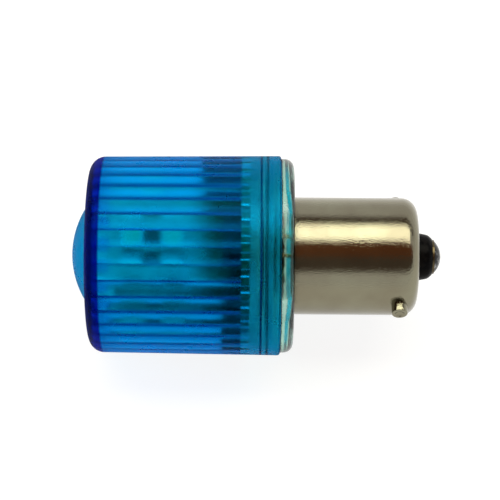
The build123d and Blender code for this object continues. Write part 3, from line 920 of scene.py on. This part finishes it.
def flutes_tree():
    """Geometry Nodes: the rows marked as flutes are drawn in to a ring of round ribs, and the rows
    marked as teeth to a ring of small blocks."""
    tree = bpy.data.node_groups.new("flutes_and_teeth", "GeometryNodeTree")
    tree.interface.new_socket("Geometry", in_out="INPUT", socket_type="NodeSocketGeometry")
    for name in ("Pitch", "Turn", "Flute Radius", "Flute Centre", "Tooth Height", "Tooth Width"):
        tree.interface.new_socket(name, in_out="INPUT", socket_type="NodeSocketFloat")
    tree.interface.new_socket("Finish", in_out="INPUT", socket_type="NodeSocketMaterial")
    tree.interface.new_socket("Geometry", in_out="OUTPUT", socket_type="NodeSocketGeometry")
    inside = tree.nodes.new("NodeGroupInput")
    outside = tree.nodes.new("NodeGroupOutput")
    place = tree.nodes.new("ShaderNodeSeparateXYZ")
    wire(tree, tree.nodes.new("GeometryNodeInputPosition").outputs[0], place.inputs["Vector"])
    y, z = place.outputs["Y"], place.outputs["Z"]
    marks = {}
    for name in ("flute", "tooth"):
        mark = tree.nodes.new("GeometryNodeInputNamedAttribute")
        mark.inputs["Name"].default_value = name
        marks[name] = mark.outputs["Attribute"]

    angle = maths(tree, "SUBTRACT", maths(tree, "ARCTAN2", z, y), inside.outputs["Turn"])
    turns = maths(tree, "ROUND", maths(tree, "DIVIDE", angle, inside.outputs["Pitch"]))
    off = maths(tree, "SUBTRACT", angle, maths(tree, "MULTIPLY", turns, inside.outputs["Pitch"]))
    across = maths(tree, "MULTIPLY", inside.outputs["Flute Centre"], maths(tree, "SINE", off))
    along = maths(tree, "MULTIPLY", inside.outputs["Flute Centre"], maths(tree, "COSINE", off))
    inner = maths(tree, "SUBTRACT", maths(tree, "POWER", inside.outputs["Flute Radius"], 2.0),
                  maths(tree, "POWER", across, 2.0))
    rib_r = maths(tree, "SUBTRACT", along, maths(tree, "SQRT", maths(tree, "MAXIMUM", inner, 0.0)))
    out = maths(tree, "SQRT", maths(tree, "ADD", maths(tree, "POWER", y, 2.0), maths(tree, "POWER", z, 2.0)))
    drawn = maths(tree, "MULTIPLY", maths(tree, "SUBTRACT", rib_r, out), marks["flute"])
    in_tooth = maths(tree, "LESS_THAN", maths(tree, "MULTIPLY", maths(tree, "ABSOLUTE", off), out),
                     maths(tree, "DIVIDE", inside.outputs["Tooth Width"], 2.0))
    bite = maths(tree, "MULTIPLY", maths(tree, "MULTIPLY", in_tooth, marks["tooth"]),
                 inside.outputs["Tooth Height"])
    new_out = maths(tree, "SUBTRACT", maths(tree, "ADD", out, drawn), bite)
    share = maths(tree, "DIVIDE", new_out, maths(tree, "MAXIMUM", out, next_to_nothing))

    moved = tree.nodes.new("ShaderNodeCombineXYZ")
    wire(tree, place.outputs["X"], moved.inputs["X"])
    wire(tree, maths(tree, "MULTIPLY", y, share), moved.inputs["Y"])
    wire(tree, maths(tree, "MULTIPLY", z, share), moved.inputs["Z"])
    shaped = tree.nodes.new("GeometryNodeSetPosition")
    real = tree.nodes.new("GeometryNodeRealizeInstances")
    painted = tree.nodes.new("GeometryNodeSetMaterial")
    wire(tree, inside.outputs["Geometry"], shaped.inputs["Geometry"])
    wire(tree, moved.outputs["Vector"], shaped.inputs["Position"])
    wire(tree, shaped.outputs["Geometry"], real.inputs["Geometry"])
    wire(tree, real.outputs["Geometry"], painted.inputs["Geometry"])
    wire(tree, inside.outputs["Finish"], painted.inputs["Material"])
    wire(tree, painted.outputs["Geometry"], outside.inputs["Geometry"])
    return tree


def blue_plastic_finish():
    """Clear blue plastic that deepens with the thickness looked through, and a little frosted. Its inner end
    corner is painted deep navy as shade.
    """
    finish, tree, shader = new_finish("blue_plastic")
    grain, mottle = grained(tree, 0.22 * mm, 5 * mm)
    place = tree.nodes.new("ShaderNodeSeparateXYZ")
    wire(tree, object_place(tree), place.inputs["Vector"])
    x, y, z = place.outputs
    out = maths(tree, "SQRT", maths(tree, "ADD", maths(tree, "POWER", y, 2.0), maths(tree, "POWER", z, 2.0)))
    # Painted shade: the inner corner where the end wall meets the flutes turns deep navy.
    corner = maths(tree, "MULTIPLY", between(tree, x, *[cavity_x + back for back in corner_shade_x]),
                   between(tree, out, *[flute_crest_r + step for step in corner_shade_r]))
    tint = mixed(tree, between(tree, mottle, 0.35, 0.65), cap_tint_deep, cap_tint)
    wire(tree, mixed(tree, corner, tint, cap_painted_corner_shade), shader.inputs["Base Color"])
    wire(tree, between(tree, mottle, 0.3, 0.7, 0.24, 0.34), shader.inputs["Roughness"])
    wire(tree, bumped(tree, grain, 0.005 * mm), shader.inputs["Normal"])
    shader.inputs["Transmission Weight"].default_value = 1.0
    shader.inputs["IOR"].default_value = cap_ior
    shader.inputs["Specular Tint"].default_value = cap_gloss_tint
    let_light_in(tree, shader, cap_light_tint, cap_gloss_kept)
    absorb(tree, cap_depth_colour, cap_depth_density)
    return finish


def cap_blank(rows):
    """The cap turned as a plain blank, with the marks that say which rows get flutes and teeth."""
    steps = flute_count * flute_steps
    blank = turned("cap_blank", [Vector(row[:2]) for row in rows], steps, start=flute_turn)
    flute = blank.attributes.new("flute", "FLOAT", "POINT")
    tooth = blank.attributes.new("tooth", "FLOAT", "POINT")
    vertex = 0
    for _, out, in_flute, in_tooth in rows:
        count = steps if out > next_to_nothing else 1
        for i in range(vertex, vertex + count):
            flute.data[i].value = in_flute
            tooth.data[i].value = in_tooth
        vertex += count
    return blank


blue_plastic = blue_plastic_finish()
cap_mesh = run_tree("blue_cap_moulding", cap_blank(cap_outline()), flutes_tree(), {
    "Pitch": flute_pitch,
    "Turn": flute_turn,
    "Flute Radius": flute_r,
    "Flute Centre": flute_centre_r,
    "Tooth Height": tooth_height,
    "Tooth Width": tooth_width,
    "Finish": blue_plastic,
})
smooth(cap_mesh, 40)
add_piece("blue_cap_moulding", cap_mesh, None, "blue_plastic", "blue_cap")

# Floor
# A plain white sheet that the lamp lies on. What looks at it sees white with the lamp's shadow.
floor_half = 1.5
floor_white = (0.8, 0.8, 0.8, 1)
floor_glow = 0.88
floor_shadow_share = (0.22, 0.22, 0.22, 1)


def seen_ray(tree):
    """One for a ray that looks at something, straight, in a reflection or through something clear."""
    path = tree.nodes.new("ShaderNodeLightPath")
    looked = maths(tree, "MAXIMUM", path.outputs["Is Camera Ray"], path.outputs["Is Glossy Ray"])
    return maths(tree, "MAXIMUM", looked, path.outputs["Is Transmission Ray"])


def floor_finish():
    """White paper: plain white for the light that it gives back, and where it is looked at an even
    glow with a small share that takes the lamp's shadow."""
    finish, tree, shader = new_finish("floor_paper")
    shader.inputs["Base Color"].default_value = floor_white
    shader.inputs["Roughness"].default_value = 0.9
    shader.inputs["Specular IOR Level"].default_value = 0.0
    glow = tree.nodes.new("ShaderNodeEmission")
    glow.inputs["Strength"].default_value = floor_glow
    shade = tree.nodes.new("ShaderNodeBsdfDiffuse")
    shade.inputs["Color"].default_value = floor_shadow_share
    both = tree.nodes.new("ShaderNodeAddShader")
    wire(tree, glow.outputs[0], both.inputs[0])
    wire(tree, shade.outputs[0], both.inputs[1])
    mix = tree.nodes.new("ShaderNodeMixShader")
    wire(tree, seen_ray(tree), mix.inputs["Fac"])
    wire(tree, shader.outputs["BSDF"], mix.inputs[1])
    wire(tree, both.outputs[0], mix.inputs[2])
    wire(tree, mix.outputs[0], tree.nodes["Material Output"].inputs["Surface"])
    return finish


def flat_panel(name, corners, finish):
    """A flat four-cornered panel of the studio."""
    mesh = bpy.data.meshes.new(name)
    mesh.from_pydata(corners, [], [(0, 1, 2, 3)])
    mesh.materials.append(finish)
    panel = bpy.data.objects.new(name, mesh)
    bpy.context.scene.collection.objects.link(panel)
    return panel


floor_z = cad_low.z
flat_panel("floor", [(-floor_half, -floor_half, floor_z), (floor_half, -floor_half, floor_z),
                     (floor_half, floor_half, floor_z), (-floor_half, floor_half, floor_z)],
           floor_finish())

# Studio
# A white room with one wide softbox overhead and a little behind. Screens round the camera glow a dim brown
# and near-black, a painted reflection that makes the dark band along the metal, and a dim glowing flag
# behind the softbox tones its upper side.
view_elevation = radians(56.3)
camera_away = 250 * mm
camera_aim = Vector((-18.88 * mm, 0, 0))
camera_lift = 0.7 * mm
camera_roll = 0.008
camera_lens = 140.5
camera_sensor = 36.0
screen_away = 400 * mm
screen_half_high = 240 * mm
screen_half_wide = 900 * mm
screen_brown_glow = (0.26, 0.1, 0.045, 1)
screen_dark_glow = (0.15, 0.115, 0.09, 1)
flag_turn = radians(50)
flag_half_high = 75 * mm
softbox_turn = radians(74.5)
softbox_away = 450 * mm
softbox_high = 300 * mm
softbox_wide = 800 * mm
softbox_glow = 3.1
softbox_colour = (1.0, 0.985, 0.8)
room_light = 0.55
softbox_power = 4.0
camera_sees = (0.01, 10)


def round_lamp(turn, away):
    """A place at a distance from the lamp's axis, at an angle from +Y towards +Z."""
    return Vector((camera_aim.x, away * cos(turn), away * sin(turn)))


def glowing_screen_finish(name, colour):
    """Cloth of one even tone, whatever light falls on it."""
    # A panel that glows at one even colour and takes no light, as painted light in place of dark cloth.
    finish, tree, shader = new_finish(name)
    glow = tree.nodes.new("ShaderNodeEmission")
    glow.inputs["Color"].default_value = colour
    wire(tree, glow.outputs[0], tree.nodes["Material Output"].inputs["Surface"])
    return finish


view_turn = pi - view_elevation
back = Vector((0, cos(view_turn), sin(view_turn)))
up = Vector((0, cos(view_turn - pi / 2), sin(view_turn - pi / 2)))
right = Vector((1, 0, 0))

screen_middle = camera_aim + back * screen_away
# Painted reflection: the two screens glow brown and near-black to stand in for a dark room round the camera.
for name, low, high, colour in (("screen_upper", 0, screen_half_high, screen_brown_glow),
                                ("screen_lower", -screen_half_high, 0, screen_dark_glow)):
    flat_panel(name, [screen_middle + right * side + up * level for side, level in (
        (-screen_half_wide, low), (screen_half_wide, low),
        (screen_half_wide, high), (-screen_half_wide, high))], glowing_screen_finish(name, colour))

# The flag also glows a dim dark colour rather than taking light.
flag_middle = round_lamp(flag_turn, softbox_away)
flag_up = Vector((0, -sin(flag_turn), cos(flag_turn)))
flat_panel("flag", [flag_middle + right * side + flag_up * level for side, level in (
    (-screen_half_wide, -flag_half_high), (screen_half_wide, -flag_half_high),
    (screen_half_wide, flag_half_high), (-screen_half_wide, flag_half_high))],
    glowing_screen_finish("flag", screen_dark_glow))

softbox = bpy.data.lights.new("softbox", "AREA")
softbox.shape = "RECTANGLE"
softbox.size = softbox_wide
softbox.size_y = softbox_high
softbox.energy = softbox_power * softbox_wide * softbox_high * softbox_glow
softbox.color = softbox_colour
softbox_stand = bpy.data.objects.new("softbox", softbox)
softbox_stand.location = round_lamp(softbox_turn, softbox_away)
softbox_stand.rotation_euler = Euler((softbox_turn - pi / 2, 0, 0))
bpy.context.scene.collection.objects.link(softbox_stand)

room = bpy.data.worlds.new("room")
room.use_nodes = True
bpy.context.scene.world = room
room_sky = room.node_tree.nodes["Background"]
room_sky.inputs["Color"].default_value = (1, 1, 1, 1)
wire(room.node_tree, between(room.node_tree, seen_ray(room.node_tree), 0, 1, room_light, 1.0),
     room_sky.inputs["Strength"])

camera = bpy.data.cameras.new("camera")
camera.sensor_width = camera_sensor
camera.lens = camera_lens
camera.clip_start, camera.clip_end = camera_sees
camera_stand = bpy.data.objects.new("camera", camera)
tilted_up = up * cos(camera_roll) - right * sin(camera_roll)
tilted_right = right * cos(camera_roll) + up * sin(camera_roll)
camera_stand.matrix_world = Matrix.Translation(camera_aim + up * camera_lift + back * camera_away) @ Matrix(
    (tilted_right, tilted_up, back)).transposed().to_4x4()
bpy.context.scene.collection.objects.link(camera_stand)
bpy.context.scene.camera = camera_stand

bpy.context.scene.view_settings.view_transform = "Standard"
